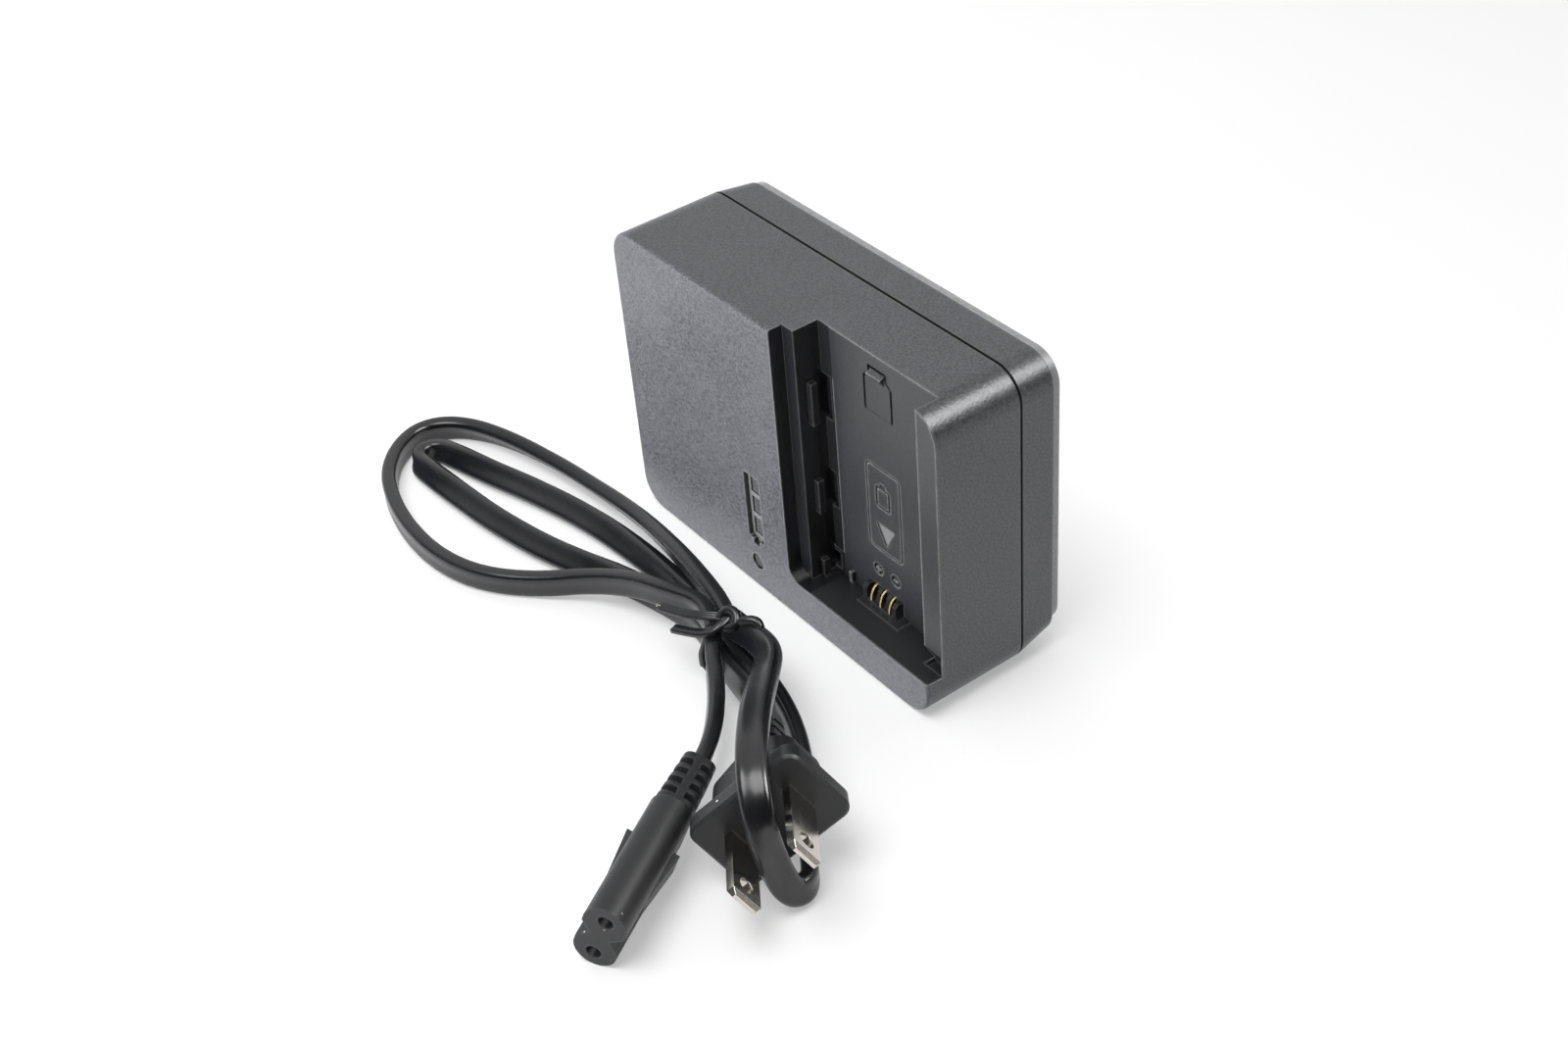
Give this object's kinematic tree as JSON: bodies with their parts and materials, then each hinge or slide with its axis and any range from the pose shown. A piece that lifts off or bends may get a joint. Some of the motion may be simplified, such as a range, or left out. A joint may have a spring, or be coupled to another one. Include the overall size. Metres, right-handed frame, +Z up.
{
  "type": "camera battery charger",
  "caption": "Mains charger for a camera battery: two-part plastic housing, stepped battery bay with latch tongue and contact blades, charge gauge, and a detachable twin lead with plug.",
  "frame": {"origin": "middle of the charger's footprint on the surface it stands on, without the loose mains lead", "axes": "+X to the right along the width seen from the front, +Y from the front face towards the back, +Z up"},
  "size_m": [0.1676, 0.1089, 0.064],
  "materials": {
    "housing": "fine moulded texture",
    "panel": "smooth satin",
    "screw_steel": "zinc plated",
    "black_plastic": "moulded",
    "pin_metal": "nickel plated",
    "contact_gold": "gold plated",
    "smoked_window": "smoked clear",
    "lamp_body": "clear epoxy",
    "board": "solder mask",
    "ferrite": "sintered",
    "coil_tape": "polyester tape",
    "capacitor_sleeve": "shrink sleeve",
    "film_case": "moulded",
    "choke_coat": "coated ring",
    "fuse_body": "glazed",
    "epoxy": "moulded",
    "heat_sink_metal": "mill",
    "cord_jacket": "glossy flexible jacket",
    "plug_plastic": "satin overmould"
  },
  "bodies": {
    "root": {"front_shell": "housing", "rear_cover": "housing", "back_panel": "panel", "housing_screws": "screw_steel", "inlet_socket": "black_plastic", "inlet_pins": "pin_metal", "contact_holder": "black_plastic", "contact_blades": "contact_gold", "light_guide": "smoked_window", "lamp_lens": "smoked_window", "lamp_board": "board", "indicator_leds": "lamp_body", "lamp_header": "pin_metal", "circuit_board": "board", "transformer_core": "ferrite", "transformer_coil": "coil_tape", "bulk_capacitor": "capacitor_sleeve", "film_capacitor": "film_case", "line_filter": "choke_coat", "fuse": "fuse_body", "bridge_rectifier": "epoxy", "heat_sink": "heat_sink_metal", "switching_transistor": "epoxy", "output_capacitor": "capacitor_sleeve", "rectifier_diode": "epoxy", "charge_controller": "epoxy", "lead_cord": "cord_jacket", "cord_tie": "cord_jacket", "connector_body": "plug_plastic", "connector_sleeves": "pin_metal", "plug_body": "plug_plastic", "plug_blades": "pin_metal"}
  },
  "joints": []
}
